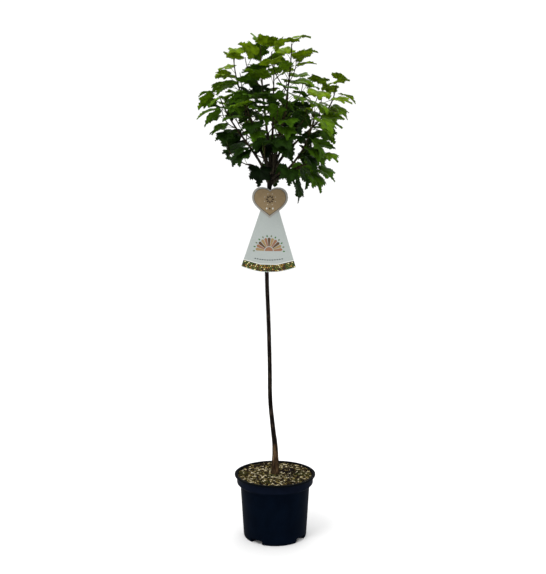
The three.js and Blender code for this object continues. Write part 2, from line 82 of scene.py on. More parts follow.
# How far a leaf's blade droops, in degrees, at some heights
DROOP = Sizes(heights=[1050, 1140, 1270, 1430], degrees=[46, 22, 6, -28], spread=50)

# Each limb: its bearing, the height where it leaves the head, how far out and how high its tip is,
# its rise at its start and at its tip, its number of twigs and its seed
Limb = namedtuple("Limb", "bearing start out top rise tip_rise twigs seed")
LIMBS = {
    "left_low": Limb(186, 1056, 150, 1290, 66, 72, 2, 11),
    "left_high": Limb(174, 1074, 112, 1404, 80, 86, 2, 23),
    "left_foot": Limb(222, 1044, 93, 1084, 30, -20, 2, 32),
    "top_left": Limb(236, 1084, 58, 1424, 80, 88, 2, 35),
    "top_right": Limb(326, 1082, 70, 1436, 76, 88, 2, 47),
    "top_back": Limb(84, 1082, 66, 1412, 80, 88, 2, 59),
    "right_high": Limb(10, 1070, 196, 1326, 66, 84, 2, 61),
    "right_low": Limb(344, 1036, 134, 1240, 34, 86, 2, 73),
    "right_foot": Limb(2, 1050, 150, 1100, 20, 2, 1, 80),
    "front_right": Limb(292, 1064, 130, 1276, 78, 76, 2, 85),
    "front_left": Limb(240, 1062, 136, 1250, 76, 70, 2, 97),
    "front_foot": Limb(318, 1052, 78, 1072, 20, -6, 1, 102),
    "back_left": Limb(130, 1062, 144, 1308, 70, 78, 2, 109),
    "back_right": Limb(48, 1062, 144, 1300, 76, 78, 2, 121),
    "back_low": Limb(92, 1050, 150, 1206, 42, 52, 1, 133),
}
BOUGH_NODES = ["bough_" + name for name in LIMBS]
FOLIAGE_NODES = ["foliage_" + name for name in LIMBS]
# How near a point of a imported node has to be, for it to hold that leaf or shoot
FOUND_WITHIN = Sizes(leaf=0.2, shoot=1.6)

# The finer growth that the solids leave out: a short sprig with small leaves on each shoot,
# in the crown's inner part
SPRIG = Sizes(radius=0.9, tip_radius=0.6, length=24, more=16, rings=7, sides=5, seed=1000)
SPRIG_LEAVES = Sizes(start=0.3, spacing=9.5, first=0.8, large=38, small=26, spread=8, petiole=0.6)
INNER_CROWN = Sizes(radius=132, low=1105, high=1270)
BLADE_SPACE = Sizes(apart=12, overlap=0.9)


# Vectors and random numbers

def lerp(a, b, share):
    return a + (b - a) * share


def unit(vector):
    return vector / np.linalg.norm(vector)


def polar(turn, reach=1):
    return np.array([cos(turn), sin(turn)]) * reach


def heading(turn):
    return np.array([cos(turn), sin(turn), 0])


def between(u, v, angle):
    """The direction at an angle from u towards v, which is square to it."""
    return u * cos(angle) + v * sin(angle)


def rolled_frame(along, roll):
    """A direction, the one across it after a roll from level, and the one square to both."""
    level = unit(np.cross(UP, along))
    across = between(level, np.cross(along, level), roll)
    return along, across, np.cross(along, across)


def bezier(points, t):
    """The place at t on the smooth curve that four points give."""
    a, b, c, d = points
    return a * (1 - t) ** 3 + b * 3 * t * (1 - t) ** 2 + c * 3 * t**2 * (1 - t) + d * t**3


def seeded_random(seed):
    """A seeded random number from 0 to 1, in 32-bit whole numbers."""
    mask = 0xFFFFFFFF
    state = seed & mask

    def draw():
        nonlocal state
        state = (state + 0x6D2B79F5) & mask
        t = ((state ^ (state >> 15)) * (state | 1)) & mask
        t ^= (t + (t ^ (t >> 7)) * (t | 61)) & mask
        return (t ^ (t >> 14)) / (mask + 1)

    return draw


# The growth rule, in millimetres

class Shoot:
    """A curve from start to tip that leaves along one heading and arrives along another."""

    def __init__(self, start, tip, first, last, outward):
        pull = BEND_PULL * np.linalg.norm(tip - start)
        self.points = (start, start + first * pull, tip - last * pull, tip)
        self.outward = outward

    def point(self, t):
        return bezier(self.points, t)

    def direction(self, t):
        a, b, c, d = self.points
        return unit((b - a) * (1 - t) ** 2 + (c - b) * 2 * t * (1 - t) + (d - c) * t**2)

    def aside(self, t, angle):
        """A direction square to the shoot, turned round it by an angle from its outward side."""
        direction = self.direction(t)
        side = unit(self.outward - direction * np.dot(self.outward, direction))
        return between(side, np.cross(direction, side), angle)


def trunk_centre(height):
    """The trunk's centre, on a smooth line through its bends."""
    bends = TRUNK_BENDS
    i = next(n for n in range(1, len(bends)) if height <= bends[n][0])
    low, high = bends[i - 1], bends[i]
    span = high[0] - low[0]
    s = (height - low[0]) / span

    def slope(n):
        above, below = bends[min(n + 1, len(bends) - 1)], bends[max(n - 1, 0)]
        return (above - below) / (above[0] - below[0])

    places = (2 * s**3 - 3 * s**2 + 1) * low + (3 * s**2 - 2 * s**3) * high
    slopes = (s**3 - 2 * s**2 + s) * slope(i - 1) + (s**3 - s**2) * slope(i)
    centre = places + span * slopes
    return np.array([centre[1], centre[2], height])


def near_head(height):
    """A share from 0 to 1 that is largest in the middle of the swollen head."""
    return np.exp(-((height - HEAD.height) ** 2) / (2 * HEAD.spread**2))


def trunk_radius(height, angle):
    """A slow taper, the lobed root flare, the knobbly head and its round top."""
    above = height - SOIL.middle_top
    taper = lerp(TRUNK.foot_radius, TRUNK.top_radius, above / (TRUNK.top - SOIL.middle_top))
    lobes = 1 + FLARE.share * np.cos(FLARE.lobes * angle + FLARE.phase)
    knobs = 1 + HEAD.share * np.cos(HEAD.knobs * angle + height / HEAD.twist)
    foot = FLARE.radius * lobes * np.exp(-above / FLARE.fade)
    dome = max(0, (height - TRUNK.dome_start) / (TRUNK.top - TRUNK.dome_start))
    return (taper + foot + HEAD.swelling * knobs * near_head(height)) * sqrt(max(0, 1 - dome**2))


def limb_stem(limb):
    outward, centre = heading(radians(limb.bearing)), trunk_centre(limb.start)
    start = centre + outward * (trunk_radius(limb.start, radians(limb.bearing)) - BOUGH.sunk)
    tip = centre + outward * limb.out
    tip[2] = limb.top
    first, last = between(outward, UP, radians(limb.rise)), between(outward, UP, radians(limb.tip_rise))
    return Shoot(start, tip, first, last, outward)


def side_shoot(shoot, share, turn, length):
    """A shoot that leaves another to its side and then turns upward."""
    root = shoot.point(share)
    first = unit(shoot.aside(share, turn) + shoot.direction(share) * SIDE_SHOOT.forward)
    last = between(shoot.outward, UP, radians(SIDE_SHOOT.tip_rise))
    tip = root + first * SIDE_SHOOT.sideways * length + UP * SIDE_SHOOT.upward * length
    return Shoot(root, tip, first, last, shoot.outward)


Leaf = namedtuple("Leaf", "root joint midrib across normal size shoot_direction")


def leaf_pose(shoot, share, turn, young, sizes, random):
    """One leaf: its petiole's root and joint, and the blade's midrib, across and upper side."""
    root, direction = shoot.point(share), shoot.direction(share)
    size = lerp(sizes.large, sizes.small, young) + sizes.spread * (random() - 0.5)
    stalk = PETIOLE.length + PETIOLE.size_share * size - PETIOLE.young * young + PETIOLE.more * random()
    leaning = radians(lerp(LEAN.old, LEAN.young, young) + LEAN.spread * (random() - 0.5))
    reach = unit(between(direction, shoot.aside(share, turn), leaning) + UP * LEAN.lift)
    joint = root + reach * stalk * sizes.petiole
    droop = np.interp(joint[2], DROOP.heights, DROOP.degrees)
    down = radians(droop + DROOP.spread * (random() - 0.5))
    flat = unit(np.array([reach[0], reach[1], 0]) + shoot.outward * LEAF.outward_pull)
    roll = radians(LEAF.roll_spread * (random() - 0.5))
    return Leaf(root, joint, *rolled_frame(between(flat, -UP, down), roll), size, direction)


def leaves_along(shoot, sizes, random):
    """Leaves along a shoot, turned by the golden angle, each with a few poses to try in turn."""
    turn = 2 * pi * random()
    length = np.linalg.norm(shoot.points[3] - shoot.points[0])
    count = round((1 - sizes.start) * length / sizes.spacing)
    leaves = []
    for i in range(count):
        share = sizes.start + (1 - sizes.start) * ((i + sizes.first) / count)
        turn += GOLDEN_ANGLE
        turns = [turn + n * GOLDEN_ANGLE for n in range(LEAF.tries)]
        leaves.append([leaf_pose(shoot, share, t, i / count, sizes, random) for t in turns])
    return leaves


def grow_limb(limb):
    """What grows from one limb's stem: its leaves, and its twigs with theirs."""
    random = seeded_random(limb.seed)
    stem = limb_stem(limb)
    stem_leaves = leaves_along(stem, STEM_LEAVES, random)
    twigs = []
    turn = radians(FORK.first + FORK.first_spread * random())
    for i in range(limb.twigs):
        share = FORK.start + FORK.span * i / limb.twigs + FORK.spread * random()
        next_turn = turn + (pi + FORK.next_spread * (random() - 0.5))
        twig = side_shoot(stem, share, turn, TWIG.length + TWIG.more * random())
        turn = next_turn
        twigs.append((twig, leaves_along(twig, TWIG_LEAVES, random)))
    return stem, stem_leaves, twigs


def node_test(name):
    """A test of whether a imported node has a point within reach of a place."""
    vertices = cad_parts[name].data.vertices
    tree = kdtree.KDTree(len(vertices))
    for i, vertex in enumerate(vertices):
        tree.insert(vertex.co, i)
    tree.balance()
    return lambda place, reach: tree.find(Vector(place * MM))[2] < reach * MM


def tip_of(leaf):
    return leaf.joint + (leaf.midrib - leaf.normal * LEAF.curl) * leaf.size


def middle_of(leaf):
    return leaf.joint + leaf.midrib * LEAF.middle * leaf.size


def beside_head(leaf):
    return hypot(middle_of(leaf)[0] - HEAD_SIDEWAYS, middle_of(leaf)[1])


def is_inner(leaf):
    """Whether a leaf lies in the crown's dense inner part."""
    height = middle_of(leaf)[2]
    return beside_head(leaf) < INNER_CROWN.radius and INNER_CROWN.low < height < INNER_CROWN.high


def has_room(leaf, leaves):
    """Whether a leaf's blade lies clear of those placed so far."""
    steps = middle_of(leaf) - np.array([middle_of(other) for other in leaves])
    heights = np.abs(np.sum(steps * [other.normal for other in leaves], axis=1))
    beside = np.sqrt(np.maximum(np.sum(steps**2, axis=1) - heights**2, 0))
    touching = BLADE_SPACE.overlap * (np.array([other.size for other in leaves]) + leaf.size) / 2
    return not np.any((heights < BLADE_SPACE.apart) & (beside < touching))


def grow_sprigs(limb, shoots, leaves):
    """A sprig on each of a limb's shoots, if any of its leaves finds room among the others."""
    random = seeded_random(limb.seed + SPRIG.seed)
    sprigs = []
    for shoot in shoots:
        turn = 2 * pi * random() + GOLDEN_ANGLE
        share = FORK.start + (1 - FORK.start) * random()
        sprig = side_shoot(shoot, share, turn, SPRIG.length + SPRIG.more * random())
        before = len(leaves)
        for poses in leaves_along(sprig, SPRIG_LEAVES, random):
            fitting = next((pose for pose in poses if is_inner(pose) and has_room(pose, leaves)), None)
            if fitting:
                leaves.append(fitting)
        if len(leaves) > before:
            sprigs.append(sprig)
    return sprigs


def grow_crown():
    """All stems, twigs, sprigs and leaves of the crown."""
    stems, twigs, sprigs, leaves, shoots = [], [], [], [], []
    for name, limb in LIMBS.items():
        has = node_test("foliage_" + name)
        stem, stem_leaves, grown = grow_limb(limb)
        kept = [(twig, found) for twig, found in grown if has(twig.point(1), FOUND_WITHIN.shoot)]
        for poses in sum([found for _, found in kept], stem_leaves):
            leaves.extend([pose for pose in poses if has(tip_of(pose), FOUND_WITHIN.leaf)][:1])
        stems.append(stem)
        twigs.extend(twig for twig, _ in kept)
        shoots.append([stem] + [twig for twig, _ in kept])
    for limb, limb_shoots in zip(LIMBS.values(), shoots):
        sprigs.extend(grow_sprigs(limb, limb_shoots, leaves))
    return stems, twigs, sprigs, leaves


# Joined meshes

def add_object(name, data):
    thing = bpy.data.objects.new(name, data)
    scene.collection.objects.link(thing)
    return thing


class Piece:
    """Points and faces of many shapes in millimetres, joined into one mesh in metres."""

    def __init__(self, name, materials):
        self.name, self.materials = name, materials
        self.points, self.faces, self.material_of, self.count = [], [], [], 0

    def add(self, points, faces, material=0):
        points = np.asarray(points, float).reshape(-1, 3)
        self.faces.extend([corner + self.count for corner in face] for face in faces)
        self.material_of.extend([material] * len(faces))
        self.points.append(points)
        self.count += len(points)

    def build(self, slot, nodes=(), smooth=True):
        mesh = bpy.data.meshes.new(self.name)
        mesh.from_pydata((np.concatenate(self.points) * MM).tolist(), [], self.faces)
        for material in self.materials:
            mesh.materials.append(material)
        mesh.polygons.foreach_set("material_index", self.material_of)
        mesh.polygons.foreach_set("use_smooth", [smooth] * len(mesh.polygons))
        mesh.update()
        piece = add_object(self.name, mesh)
        if nodes:
            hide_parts(*nodes)
        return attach(piece, "root")


def ring_turns(sides):
    return np.arange(sides) * 2 * pi / sides


def ring_faces(rings, sides):
    """Faces between rings of points, all the way round."""
    faces = []
    for low in range(0, (rings - 1) * sides, sides):
        for s in range(sides):
            after = (s + 1) % sides
            faces.append([low + s, low + after, low + sides + after, low + sides + s])
    return faces


def closed_faces(rings, sides):
    """Faces between rings of points, with one more over each end."""
    last = (rings - 1) * sides
    return ring_faces(rings, sides) + [list(range(sides))[::-1], list(range(last, last + sides))]


def tube(shoot, mesh, radius_at, start=0, end=1):
    """A closed tube along a shoot, where radius_at takes a share and an angle."""
    points = [
        shoot.point(share) + shoot.aside(share, turn) * radius_at(share, turn)
        for share in np.linspace(start, end, mesh.rings)
        for turn in ring_turns(mesh.sides)
    ]
    return points, closed_faces(mesh.rings, mesh.sides)


def tapering(thick, thin):
    return lambda share, turn: lerp(thick, thin, share)


# Bark

# The bark's relief, with the number of spots round a limb and their length
PLATES = Sizes(depth=0.32, spots=3.2, length=16)
CRACKS = Sizes(depth=0.16, spots=9, length=5)
KNOTS = Sizes(depth=1.1, spots=2.2, length=9)
TRUNK_MESH = Sizes(step=2.4, sides=48, brown_top=268, foot_gap=0.3, top_gap=0.1, least_radius=0.2)
BOUGH_MESH = Sizes(rings=34, sides=18, collar=0.76, collar_share=0.035)
STEM_MESH = Sizes(rings=44, sides=10, relief=0.48)
# The length of bark on a limb, and how far apart the limbs' pieces of the pattern are
LIMB_BARK = Sizes(length=300, apart=40)


def relief(kind, turn, height):
    place = Vector((*polar(turn, kind.spots), height / kind.length))
    return kind.depth * noise.noise(place)


def bark_relief(turn, height):
    """How far the bark stands out in long plates and fine cracks."""
    return relief(PLATES, turn, height) + relief(CRACKS, turn, height)


def build_trunk(bark, foot_bark):
    foot = SOIL.middle_top + TRUNK_MESH.foot_gap
    heights = np.linspace(foot, TRUNK.top - TRUNK_MESH.top_gap, int((TRUNK.top - foot) / TRUNK_MESH.step))
    sides = TRUNK_MESH.sides
    points = []
    for height in heights:
        centre = trunk_centre(height)
        for turn in ring_turns(sides):
            knots = near_head(height) * relief(KNOTS, turn, height)
            radius = trunk_radius(height, turn) + bark_relief(turn, height) + knots
            points.append(centre + heading(turn) * max(TRUNK_MESH.least_radius, radius))
    piece = Piece("trunk_bark", [bark, foot_bark])
    piece.add(points, closed_faces(len(heights), sides))
    foot_faces = sides * int((TRUNK_MESH.brown_top - foot) / TRUNK_MESH.step)
    piece.material_of[:foot_faces] = [1] * foot_faces
    piece.build("bark", ["trunk"])


def add_limb(boughs, stems, n, stem):
    """A limb's thick foot with its collar, and the thinner stem beyond it."""

    def bark_at(share, turn):
        return bark_relief(turn + n, share * LIMB_BARK.length + n * LIMB_BARK.apart)

    def stem_radius(share, turn):
        return lerp(BOUGH.radius, STEM_TIP_RADIUS, share) + STEM_MESH.relief * bark_at(share, turn)

    def bough_radius(share, turn):
        collar = 1 + BOUGH_MESH.collar * exp(-share / BOUGH_MESH.collar_share)
        return lerp(BOUGH.radius, STEM_TIP_RADIUS, share) * collar + bark_at(share, turn)

    boughs.add(*tube(stem, BOUGH_MESH, bough_radius, end=BOUGH.share))
    stems.add(*tube(stem, STEM_MESH, stem_radius, start=BOUGH.share))


def build_limbs(stems, bark, young_bark):
    bough_piece, stem_piece = Piece("boughs_bark", [bark]), Piece("stems", [young_bark])
    for n, stem in enumerate(stems):
        add_limb(bough_piece, stem_piece, n, stem)
    bough_piece.build("bark", BOUGH_NODES)
    stem_piece.build("bark", FOLIAGE_NODES)


def build_shoots(name, shoots, sizes, material):
    piece = Piece(name, [material])
    for shoot in shoots:
        piece.add(*tube(shoot, sizes, tapering(sizes.radius, sizes.tip_radius)))
    piece.build("bark", FOLIAGE_NODES)


# Leaves

# Half of a leaf's outline from tip to base: angle from the midrib and share of its length
LEAF_LOBES = [(0, 1), (22, 0.66), (45, 0.94), (74, 0.58), (100, 0.74), (148, 0.34), (174, 0.05)]
# How much a lobe's angle and reach differ between leaf forms, and where the angle stays fixed
LOBE_CHANGE = Sizes(angle=1.6, reach=0.035, fixed_from=170)
TEETH = Sizes(spacing=0.15, height=0.075, peak=0.62, valley=-0.3, at_base=0.3)
EDGE_BULGE = 0.045
RING_SHARES = [0.2, 0.42, 0.66, 0.86, 1]
LEAF_THICKNESS = 0.5
GROOVE = Sizes(depth=0.045, width=0.06)
LEAF_WAVES = Sizes(broad=0.07, broad_turns=5, fine=0.06, fine_turns=11)
LEAF_VARIANTS = 8
VEIN = Sizes(width=0.016, lift=0.008, length=0.9, narrowing=0.75, rows=4)
SIDE_VEIN = Sizes(angle=42, length=0.27, width=0.009, full_reach=1.25, shares=(0.3, 0.52, 0.72))
# The angle of each main vein, and how many side veins fork from each of its sides
VEIN_FORKS = {0: 3, 45: 3, -45: 3, 100: 2, -100: 2}
PETIOLE_MESH = Sizes(rings=7, sides=5, radius=1.0, tip_radius=0.7, bend=0.14, full_leaf=50, nudge=0.001)


def half_outline(dice):
    """One half's outline from tip to base, as a smooth edge and as the same edge with teeth."""
    change = LOBE_CHANGE
    lobes = []
    for angle, reach in LEAF_LOBES:
        angle_now = angle + dice.normal(0, change.angle) * (0 < angle < change.fixed_from)
        reach_now = reach * (1 + dice.normal(0, change.reach) * (angle > 0))
        lobes.append(polar(radians(angle_now), reach_now))
    smooth, toothed = [], []
    for low, high in zip(lobes, lobes[1:]):
        at_base = TEETH.at_base if high is lobes[-1] else 1
        out = unit(np.array([low[1] - high[1], high[0] - low[0]]))
        if out @ (low + high) < 0:
            out = -out
        count = max(1, round(np.linalg.norm(high - low) / TEETH.spacing))
        steps = [(k + part) / count for k in range(count) for part in (0, TEETH.peak)]
        for n, s in enumerate(steps):
            place = low + (high - low) * s + out * EDGE_BULGE * sin(pi * s)
            tooth = TEETH.height * (1 if n % 2 else TEETH.valley) * at_base * (n > 0)
            smooth.append(place)
            toothed.append(place + out * tooth)
    return np.array(smooth + lobes[-1:]), np.array(toothed + lobes[-1:])


def blade_height(x, y, phase):
    """How high the folded, curled and grooved blade lies at a point."""
    reach = np.sqrt(x**2 + y**2)
    angle = np.arctan2(y, x)
    grooves = 0
    for vein in VEIN_FORKS:
        turn = angle - radians(vein)
        aside = np.where(np.cos(turn) > 0, reach * np.abs(np.sin(turn)), 1)
        grooves = grooves + np.exp(-((aside / GROOVE.width) ** 2))
    broad = LEAF_WAVES.broad * reach**2 * np.sin(LEAF_WAVES.broad_turns * angle + phase)
    fine = LEAF_WAVES.fine * reach**3 * np.sin(LEAF_WAVES.fine_turns * angle + 2 * phase)
    plain = LEAF.fold * np.abs(y) - LEAF.curl * reach**2
    return plain - GROOVE.depth * reach * grooves + broad + fine


def vein_strips(phase):
    """Tapering strips along the main veins and their side veins."""
    points, faces = [], []

    def strip(start, end, width):
        along = end - start
        aside = unit(np.array([-along[1], along[0]]))
        first = len(points)
        for s in np.linspace(0, 1, VEIN.rows):
            for side in (-1, 1):
                x, y = start + along * s + aside * side * width * (1 - VEIN.narrowing * s) / 2
                points.append((x, y, blade_height(np.float64(x), np.float64(y), phase)))
        rows = range(first, first + 2 * (VEIN.rows - 1), 2)
        faces.extend([k, k + 2, k + 3, k + 1] for k in rows)

    for angle, forks in VEIN_FORKS.items():
        length = VEIN.length * dict(LEAF_LOBES)[abs(angle)]
        strip(np.zeros(2), polar(radians(angle), length), VEIN.width)
        for share in SIDE_VEIN.shares[:forks]:
            for side in (-1, 1):
                start = polar(radians(angle), share * length)
                reach = SIDE_VEIN.length * length * (SIDE_VEIN.full_reach - share)
                end = start + polar(radians(angle + side * SIDE_VEIN.angle), reach)
                strip(start, end, SIDE_VEIN.width)
    return np.array(points), faces


class LeafForm:
    """One leaf shape of unit length, with its faces and veins. Points with drop 1 are on the underside."""

    def __init__(self, variant):
        dice = np.random.default_rng(variant)
        phase = dice.uniform(0, 2 * pi)
        left, right = half_outline(dice), half_outline(dice)
        halves = [(a, (b * (1, -1))[:0:-1]) for a, b in zip(left, right)]
        smooth, toothed = (np.concatenate(half) for half in halves)
        rings = [smooth * share for share in RING_SHARES[:-1]] + [toothed]
        flat = np.concatenate([np.zeros((1, 2))] + rings)
        side = np.column_stack([flat, blade_height(flat[:, 0], flat[:, 1], phase)])
        count, sides = len(side), len(smooth)
        fan = [[0, 1 + s, 1 + (s + 1) % sides] for s in range(sides)]
        bands = [[f[0] + 1, f[3] + 1, f[2] + 1, f[1] + 1] for f in ring_faces(len(RING_SHARES), sides)]
        self.upper = fan + bands
        self.under = [[corner + count for corner in face[::-1]] for face in self.upper]
        edge = 1 + (len(RING_SHARES) - 1) * sides
        ends = [(edge + s, edge + (s + 1) % sides) for s in range(sides)]
        self.rim = [[low, low + count, high + count, high] for low, high in ends]
        self.points = np.concatenate([side, side])
        self.drop = np.repeat([0, 1], count)
        self.vein_points, self.vein_faces = vein_strips(phase)

    def place(self, leaf, points):
        return leaf.joint + leaf.size * points @ np.array([leaf.midrib, leaf.across, leaf.normal])

    def add_blade(self, piece, leaf):
        points = self.place(leaf, self.points) - np.outer(self.drop, leaf.normal) * LEAF_THICKNESS
        piece.add(points, self.upper + self.rim + self.under)
        under = len(self.under)
        piece.material_of[-under:] = [1] * under

    def add_veins(self, piece, leaf):
        lift = np.array([0, 0, VEIN.lift])
        piece.add(self.place(leaf, self.vein_points + lift), self.vein_faces, 2)
        below = self.place(leaf, self.vein_points - lift) - leaf.normal * LEAF_THICKNESS
        piece.add(below, [face[::-1] for face in self.vein_faces], 2)


def petiole_tube(leaf):
    """A petiole that leaves along its shoot and bends out to the leaf's joint."""
    reach = leaf.joint - leaf.root
    middle = leaf.root + reach / 2 + leaf.shoot_direction * PETIOLE_MESH.bend * np.linalg.norm(reach)
    first, last = unit(middle - leaf.root), unit(leaf.joint - middle)
    side = unit(np.cross(reach, UP) + PETIOLE_MESH.nudge * leaf.across)
    thin = min(1, leaf.size / PETIOLE_MESH.full_leaf)
    radius_at = tapering(thin * PETIOLE_MESH.radius, thin * PETIOLE_MESH.tip_radius)
    return tube(Shoot(leaf.root, leaf.joint, first, last, side), PETIOLE_MESH, radius_at)


# The leaves' tints, from the crown's top and outside, painted paler as if lit, to its foot and heart,
# painted dark as shade over a deeper green; and where each starts
LIGHT_AND_TINT_STARTS = {"most_lit": 0.74, "bright": 0.58, "mid": 0.44, "deep": 0.26, "dark": -9}
LIGHT_AND_TINT_BY = Sizes(height=0.8, outward=0.5, right=0.08, low=0.16, spread=0.07, seed=7)
CROWN = Sizes(foot=1000, reach=470, radius=220, low_share=0.34)


# Painted light and shade: a leaf's tint is paler the higher, further out and further right it sits, and
# near the crown's lowest part, and darker inside, where shade falls.
def light_and_tint_of(leaf, dice):
    middle = middle_of(leaf)
    height = (middle[2] - CROWN.foot) / CROWN.reach
    score = LIGHT_AND_TINT_BY.height * height**2 + LIGHT_AND_TINT_BY.outward * (beside_head(leaf) / CROWN.radius)
    score += LIGHT_AND_TINT_BY.right * middle[0] / CROWN.radius + dice.normal(0, LIGHT_AND_TINT_BY.spread)
    score += LIGHT_AND_TINT_BY.low * max(0, 1 - height / CROWN.low_share)
    return next(lit_tint for lit_tint, start in LIGHT_AND_TINT_STARTS.items() if score > start)


def build_leaves(leaves, leaf_materials, petiole_material):
    dice = np.random.default_rng(LIGHT_AND_TINT_BY.seed)
    forms = [LeafForm(variant) for variant in range(LEAF_VARIANTS)]
    blades = {lit_tint: Piece("leaves_" + lit_tint, leaf_materials[lit_tint]) for lit_tint in LIGHT_AND_TINT_STARTS}
    petioles = Piece("petioles", [petiole_material])
    for n, leaf in enumerate(leaves):
        form, piece = forms[n % LEAF_VARIANTS], blades[light_and_tint_of(leaf, dice)]
        form.add_blade(piece, leaf)
        form.add_veins(piece, leaf)
        petioles.add(*petiole_tube(leaf))
    for piece in [*blades.values(), petioles]:
        piece.build("foliage", FOLIAGE_NODES)


# Pot

POT_SIDES = 180
# The pot's body where its profile has points, as shares of the height below the shoulder
BODY_SHARES = (0.1, 0.5)
# From there up, over the rim and down the inside: the radius and the height that each point is
# measured from, and how far it lies from them
POT_PROFILE = [
    ("body", -0.3, "shoulder", -3), ("body", 0, "shoulder", 0), ("body", 0.8, "shoulder", 1.2),
    ("collar", -1, "collar_foot", -1.2), ("collar", -0.2, "collar_foot", 0),
    ("collar", 0, "collar_foot", 1.2), ("collar", 0.9, "lip", -1.6), ("collar", 1.6, "lip", -0.5),
    ("collar", 2.8, "lip", 0), ("rim", -0.8, "lip", 0), ("rim", -0.2, "lip", 0.3), ("rim", 0, "lip", 1),
    ("rim", 0, "top", -1.2), ("rim", -0.3, "top", -0.4), ("rim", -1.1, "top", 0),
    ("inside", 1.2, "top", 0), ("inside", 0.4, "top", -0.3), ("inside", 0, "top", -1.1),
    ("inside", -0.6, "top", -12), ("wall", 0, "collar_foot", 0),
]
# Where the collar and the rim start in the whole profile above the foot
COLLAR_STEPS = (5, 10)
FOOT = Sizes(hole=4, before_notch=2, notch_edge=4, bevel=0.9, side=0.5, side_height=6.9)


def pot_profile():
    """Radius and height up the outside, over the rim and down the inside, above the foot."""
    collar_foot = POT.height - POT.collar_height
    shoulder = collar_foot - POT.shoulder
    named = {"body": POT.body_top, "collar": POT.collar, "rim": POT.rim, "inside": POT_INSIDE}
    named |= {"wall": POT.collar - POT.wall, "shoulder": shoulder, "collar_foot": collar_foot}
    named |= {"lip": POT.height - POT.lip, "top": POT.height}
    body = [(lerp(POT.base, POT.body_top, share), share * shoulder) for share in BODY_SHARES]
    return body + [(named[side] + out, named[level] + up) for side, out, level, up in POT_PROFILE]


def foot_profile(in_notch):
    """Radius and height from the underside's middle to the wall, in a notch or beside it."""
    base, inner, side = POT.base, POT.base - NOTCH.depth, POT.base + FOOT.side
    start = [(FOOT.hole, 0), (inner - FOOT.before_notch, 0), (inner, 0)]
    if in_notch:
        return start + [(radius, NOTCH.height) for radius in (inner, base - FOOT.notch_edge, side)]
    return start + [(base - POT.rounding, 0), (base - FOOT.bevel, FOOT.bevel), (side, FOOT.side_height)]


def build_pot(body, collar, rim):
    half = degrees(atan2(NOTCH.width / 2, POT.base))
    period = 360 / NOTCH.count
    edges = [NOTCH.first + period * i + side for i in range(NOTCH.count) for side in (-half, half)]
    seams = {round(a % 360, 3) for edge in edges for a in (edge - NOTCH.seam, edge + NOTCH.seam)}
    angles = sorted(seams | {round(a, 3) for a in np.arange(POT_SIDES) * 360 / POT_SIDES})
    foot_rings = len(foot_profile(False))
    rings = [[] for _ in range(foot_rings + len(pot_profile()))]
    for angle in angles:
        from_notch = abs((angle - NOTCH.first + period / 2) % period - period / 2)
        x, y = polar(radians(angle))
        for ring, (radius, height) in zip(rings, foot_profile(from_notch < half) + pot_profile()):
            ring.append((radius * x, radius * y, height))
    at_collar, at_rim = (foot_rings + step for step in COLLAR_STEPS)
    piece = Piece("pot_shell", [body, collar, rim])
    piece.add(np.concatenate(rings), ring_faces(len(rings), len(angles)))
    bands = [n // len(angles) for n in range(len(piece.faces))]
    # The collar band takes the second material, which is painted paler as a sheen.
    piece.material_of = [(band >= at_collar) + (band >= at_rim) for band in bands]
    piece.faces.append(list(range(len(angles)))[::-1])
    piece.material_of.append(0)
    piece.build("pot_plastic", ["pot"])


# Soil

SOIL_MESH = Sizes(rings=46, sides=150, lumps=1.5, lump_size=5, below=1.6, wall_gap=0.9, middle=0.3)
SOIL_EDGE = POT_INSIDE - SOIL_MESH.wall_gap
CHIPS = Sizes(
    count=4600, length=4, more=9, width=0.8, more_width=1.2, thickness=0.8, ragged=0.12, pitch=0.16,
    roll=0.5, rise=(-0.6, 1.8), trunk_gap=9, seed=5,
)
# Shares of the kinds from dark to pale. Chips of like tone lie in small clumps.
CHIP_SHARES = {"plum": 0.17, "brown": 0.25, "olive": 0.17, "tan": 0.13, "straw": 0.16, "pale": 0.12}
CHIP_CLUMP = Sizes(size=8, blend=0.17)
# Patches where most chips are of one kind: kind, sideways, depth and radius
CHIP_PATCHES = [
    ("plum", 40, 18, 30), ("olive", 84, -4, 22), ("olive", -92, 4, 18), ("brown", 50, -22, 22),
    ("brown", -38, 86, 30),
]
PATCH_SHARE = 0.65
# Tufts of moss and seedlings on the soil: sideways, depth, radius and number of blades
MOSS = [(-6, -24, 17, 260), (70, -10, 16, 150), (-30, -78, 20, 120), (62, -62, 14, 90)]
MOSS_SPREAD = (2, 2.6)
MOSS_BLADE = Sizes(wall_gap=4, trunk_gap=12, width=(0.5, 1), lean=(1, 3.2), rise=(1.6, 3.6), bulge=0.6)


def soil_height(radius):
    edge = POT.collar - POT.wall - SOIL.edge_gap
    slope = max(0, (radius - SOIL.flat_radius) / (edge - SOIL.flat_radius))
    return lerp(SOIL.middle_top, SOIL.edge_top, slope)


def build_soil_bed(material):
    """The lumpy compost under the chips."""
    rings, sides = SOIL_MESH.rings, SOIL_MESH.sides
    points = []
    for radius in np.linspace(SOIL_MESH.middle, SOIL_EDGE, rings):
        for turn in ring_turns(sides):
            x, y = polar(turn, radius)
            lump = noise.noise(Vector((x, y, 0)) / SOIL_MESH.lump_size)
            points.append((x, y, soil_height(radius) - SOIL_MESH.below + SOIL_MESH.lumps * lump))
    bed = Piece("soil_bed", [material])
    bed.add(points, [face[::-1] for face in ring_faces(rings, sides)] + [list(range(sides))])
    bed.build("soil_chips", ["soil"])


